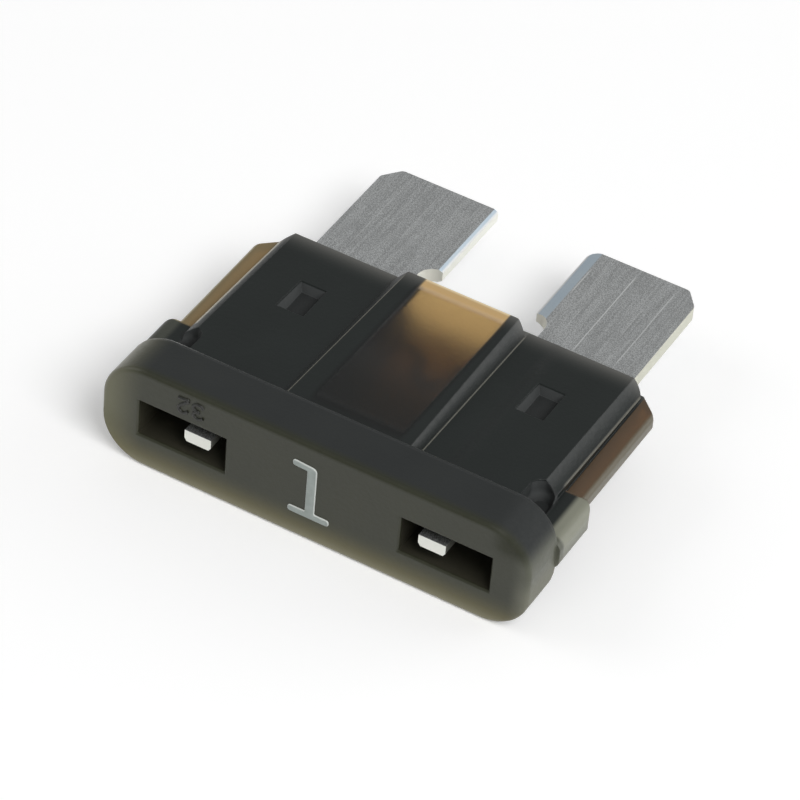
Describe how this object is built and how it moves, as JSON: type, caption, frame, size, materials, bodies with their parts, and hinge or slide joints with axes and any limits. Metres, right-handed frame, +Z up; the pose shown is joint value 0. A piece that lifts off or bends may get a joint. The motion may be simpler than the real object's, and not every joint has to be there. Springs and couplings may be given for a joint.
{
  "type": "automotive blade fuse",
  "caption": "Plug-in blade fuse: translucent moulded body over a stamped zinc strip with flat blades, test tips and a thin link.",
  "frame": {"origin": "under the middle of the fuse's bounding box, on the plane of its lower broad side", "axes": "+X across the head, +Y from the head face towards the blade tips, +Z up through the thickness"},
  "size_m": [0.019, 0.0186, 0.0048],
  "materials": {
    "housing": "smoke grey translucent polycarbonate, satin moulded surface",
    "fuse_element": "matt rolled zinc with fine grain"
  },
  "bodies": {
    "root": {"housing": "housing", "fuse_element": "fuse_element"}
  },
  "joints": []
}
